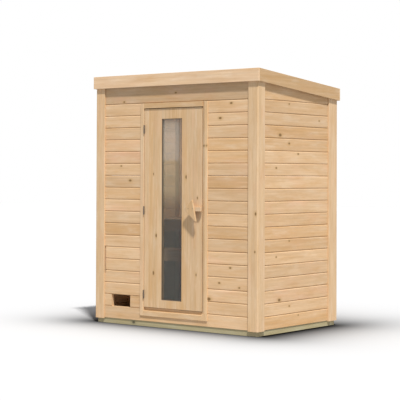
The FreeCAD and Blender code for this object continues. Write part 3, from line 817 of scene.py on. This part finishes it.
def lamella(part, start, end, low, high, beside_light):
    """Outline, axis and ends of one lamella. At the light it steps back round the glass."""
    pane_low, pane_high = node_box("door_glass")
    step = pane_low.y
    if part == "rail_top":
        return [(low.y, low.z), (step, low.z), (step, pane_high.z), (high.y, pane_high.z), (high.y, high.z),
                (low.y, high.z)], X, start, end
    if part == "rail_bottom":
        return [(low.y, low.z), (high.y, low.z), (high.y, pane_low.z), (step, pane_low.z), (step, high.z),
                (low.y, high.z)], X, start, end
    outline = [(start, low.y), (end, low.y), (end, high.y), (start, high.y)]
    if beside_light and part == "stile_left":
        outline[2:3] = [(end, step), (pane_low.x, step), (pane_low.x, high.y)]
    elif beside_light:
        outline[3:] = [(pane_high.x, high.y), (pane_high.x, step), (start, step)]
    return outline, Z, low.z, high.z


def build_leaf():
    """Upright glued lamellas, the glazing beads and the inner grip."""
    for number, part in enumerate(("stile_left", "stile_right", "rail_top", "rail_bottom")):
        low, high = node_box(f"door_{part}")
        count = max(1, round((high.x - low.x) / LAMELLA))
        width = (high.x - low.x) / count
        inmost = count - 1 if part == "stile_left" else 0
        piece = Piece(f"door_{part}_lamellas", 70 + number)
        for step in range(count):
            start = low.x + step * width
            end = start + width
            mesh = extrude(*lamella(part, start, end, low, high, step == inmost))
            spots = [(z, x, radius) for x, z, radius in LEAF_KNOTS if start < x < end and low.z < z < high.z]
            piece.add_mesh(mesh, Z, spots, tone=piece.random.uniform(*LEAF_TONES))
        piece.finish(JOINERY, "door", [f"door_{part}"])
    dress_copy("door_glazing_beads", 75, Z, JOINERY, "door", BEAD_EDGE)
    dress_copy("door_inner_grip", 76, Z, JOINERY, "door", GRIP_EDGE)


def build_glass_seal():
    """A dark seal round the glass, in front of it and against the sides of the light."""
    left, right = node_box("door_stile_left")[1].x, node_box("door_stile_right")[0].x
    foot, head = node_box("door_rail_bottom")[1].z, node_box("door_rail_top")[0].z
    back = node_box("door_glass")[0].y
    front = back - SEAL_DEEP
    piece = Piece("glass_seal", 77)
    for low, high in (((left, front, foot), (left + SEAL_WIDE, back, head)),
                      ((right - SEAL_WIDE, front, foot), (right, back, head)),
                      ((left + SEAL_WIDE, front, head - SEAL_WIDE), (right - SEAL_WIDE, back, head)),
                      ((left + SEAL_WIDE, front, foot), (right - SEAL_WIDE, back, foot + SEAL_WIDE))):
        piece.add_mesh(soft_box(low, high, SEAL_EDGE), Z)
    piece.finish(SEAL, "door")


def build_handle():
    """Block and plate. The plate's face is set back a little, so that the screw heads stand proud of it."""
    dress_copy("door_handle_block", 80, X, JOINERY, "door", tone=BLOCK_TONE)
    front = node_box("door_handle_plate")[0].y
    plate = frame_islands("door_handle_plate")[0]
    for vertex in plate.verts:
        vertex.co.y = max(vertex.co.y, front + SCREW_PROUD)
    piece = Piece("door_handle_plate_board", 81)
    piece.add_mesh(soften(plate, PLATE_EDGE), Z, tone=PLATE_TONE)
    piece.finish(JOINERY, "door", ["door_handle_plate"])
    piece = Piece("handle_screws", 82)
    for x, z in HANDLE_SCREWS:
        base = Vector((x, front + HANDLE_SCREW_HIGH, z))
        piece.add_mesh(round_head(base, HANDLE_SCREW_RADIUS, HANDLE_SCREW_HIGH, Vector((0, -1, 0))), Y)
    piece.finish(SCREW_METAL, "door")


def build_hinge_screws():
    """Screw heads on the hinges' halves, in the gap between leaf and jamb."""
    face = node_box("hinge_frame_halves")[0].x + HINGE_LEAF
    for node, body, turn in (("hinge_frame_halves", "cabin", 1), ("hinge_door_halves", "door", -1)):
        piece = Piece(f"{node}_screws", 85)
        for island in frame_islands(node):
            low, high = mesh_box(island)
            for rise in (-HINGE_SCREW_STEP, HINGE_SCREW_STEP):
                base = Vector((face - turn * HINGE_SCREW_SUNK, high.y - HINGE_SCREW_INSET,
                               (low.z + high.z) / 2 + rise))
                head = round_head(base, HINGE_SCREW_RADIUS, HINGE_SCREW_HIGH, Vector((turn, 0, 0)))
                piece.add_mesh(head, X)
            island.free()
        piece.finish(SCREW_METAL, body)


def build_inside():
    dress_copy("upper_bench", 90, X, INSIDE)
    dress_copy("lower_bench", 91, X, INSIDE, tone=LOWER_BENCH_TONE)
    dress_copy("bench_ledgers", 92, Y, INSIDE)
    dress_copy("floor_joists", 93, Y, TREATED)
    dress_copy("roof_rafters", 94, Y, INSIDE)
    dress_slices("floor_boards", 95, FLOOR_BOARD, INSIDE)
    dress_slices("roof_boards", 96, ROOF_BOARD, INSIDE)


def colour_kept_nodes():
    """Materials of the CAD pieces that are shown as they are."""
    for node, material in (("door_glass", GLASS), ("hinge_frame_halves", DARK_METAL),
                           ("hinge_door_halves", DARK_METAL), ("roof_felt", FELT_COVER)):
        nodes[node].data.materials.clear()
        nodes[node].data.materials.append(material)


# Camera, light and floor
def place_object(name, data):
    thing = bpy.data.objects.new(name, data)
    scene.collection.objects.link(thing)
    thing.rotation_mode = "QUATERNION"
    return thing


def build_camera():
    data = bpy.data.cameras.new("camera")
    data.lens = CAMERA_LENS
    data.sensor_width = CAMERA_SENSOR
    data.shift_y = CAMERA_SHIFT
    data.clip_end = CAMERA_REACH
    camera = place_object("camera", data)
    camera.location = CAMERA_PLACE
    level = math.cos(CAMERA_PITCH)
    forward = Vector((math.sin(CAMERA_YAW) * level, math.cos(CAMERA_YAW) * level, math.sin(CAMERA_PITCH)))
    turn = forward.to_track_quat("-Z", "Y").to_matrix() @ Matrix.Rotation(CAMERA_ROLL, 3, "Z")
    camera.rotation_quaternion = turn.to_quaternion()
    scene.camera = camera


def build_lights():
    data = bpy.data.lights.new("sun", "SUN")
    data.energy = SUN_POWER
    data.angle = math.radians(SUN_ANGLE)
    data.color = SUN_COLOUR
    sun = place_object("sun", data)
    sun.rotation_quaternion = Vector(SUN_DIRECTION).to_track_quat("-Z", "Y")
    data = bpy.data.lights.new("room_lamp", "AREA")
    data.energy = LAMP_POWER
    data.spread = math.radians(LAMP_SPREAD)
    data.size = LAMP_SIZE
    data.color = LAMP_COLOUR
    lamp = place_object("room_lamp", data)
    lamp.location = LAMP_PLACE
    lamp.rotation_quaternion = Vector(LAMP_DIRECTION).to_track_quat("-Z", "Y")


def build_world():
    """A soft sky that lights the cabin, and white where the camera looks past it."""
    world = bpy.data.worlds.new("world")
    scene.world = world
    world.use_nodes = True
    tree = world.node_tree
    tree.nodes.clear()
    output = tree.nodes.new("ShaderNodeOutputWorld")
    choose = add(tree, "ShaderNodeMixShader")
    tree.links.new(straight_look(tree), choose.inputs[0])
    for slot, colour, power in ((1, SKY_COLOUR, SKY_POWER), (2, WHITE, 1.0)):
        background = add(tree, "ShaderNodeBackground")
        plug(tree, background, 0, colour)
        plug(tree, background, 1, power)
        tree.links.new(background.outputs[0], choose.inputs[slot])
    tree.links.new(choose.outputs[0], output.inputs[0])


def beyond(tree, value, limit, reach):
    """How far a coordinate lies past a limit, in units of the shadow's reach, squared."""
    past = math_node(tree, "MAXIMUM", math_node(tree, "SUBTRACT", value, limit), 0.0)
    return math_node(tree, "POWER", math_node(tree, "DIVIDE", past, reach), 2.0)


def contact_shadow(tree):
    """Painted contact shadow: 0 at the cabin's foot, 1 far away, from the distance to its outline on the
    ground.
    """
    foot_low, foot_high = node_box("left_wall")[0], node_box("right_wall")[1]
    x, y, _ = split(tree, object_place(tree))
    aside = beyond(tree, math_node(tree, "ABSOLUTE", x), foot_high.x, SHADOW_SIDE)
    ahead = beyond(tree, math_node(tree, "MULTIPLY", y, -1.0), -foot_low.y, SHADOW_FRONT)
    behind = beyond(tree, y, foot_high.y, SHADOW_REAR)
    total = math_node(tree, "ADD", math_node(tree, "ADD", aside, ahead), behind)
    falloff = math_node(tree, "MULTIPLY", math_node(tree, "POWER", total, SHADOW_POWER / 2), -1.0)
    return math_node(tree, "SUBTRACT", 1.0, math_node(tree, "EXPONENT", falloff))


def build_floor():
    """Pale floor that keeps the cabin's cast shadow, with painted shade that is darkest where the cabin
    stands on it.
    """
    material, tree, shader = node_tree("pale_floor")
    # Painted shadow round the cabin's foot, for the rays that show the floor
    seen = mix_colour(tree, contact_shadow(tree), SHADOW_COLOUR, FLOOR_SEEN)
    tree.links.new(mix_colour(tree, straight_look(tree), FLOOR_LIT, seen), shader.inputs["Base Color"])
    shader.inputs["Roughness"].default_value = FLOOR_ROUGHNESS
    shader.inputs["Specular IOR Level"].default_value = 0.0
    data = bpy.data.meshes.new("floor")
    corners = [(x * FLOOR_REACH, y * FLOOR_REACH, 0) for x, y in ((-1, -1), (1, -1), (1, 1), (-1, 1))]
    data.from_pydata(corners, [], [(0, 1, 2, 3)])
    data.materials.append(material)
    floor = bpy.data.objects.new("floor", data)
    scene.collection.objects.link(floor)


ROOF_POINT, ROOF_NORMAL = roof_plane()
build_walls()
build_posts()
build_base()
build_fascia()
build_door_frame()
build_leaf()
build_glass_seal()
build_handle()
build_hinge_screws()
build_inside()
colour_kept_nodes()
build_camera()
build_lights()
build_world()
build_floor()
scene.view_settings.view_transform = "Standard"
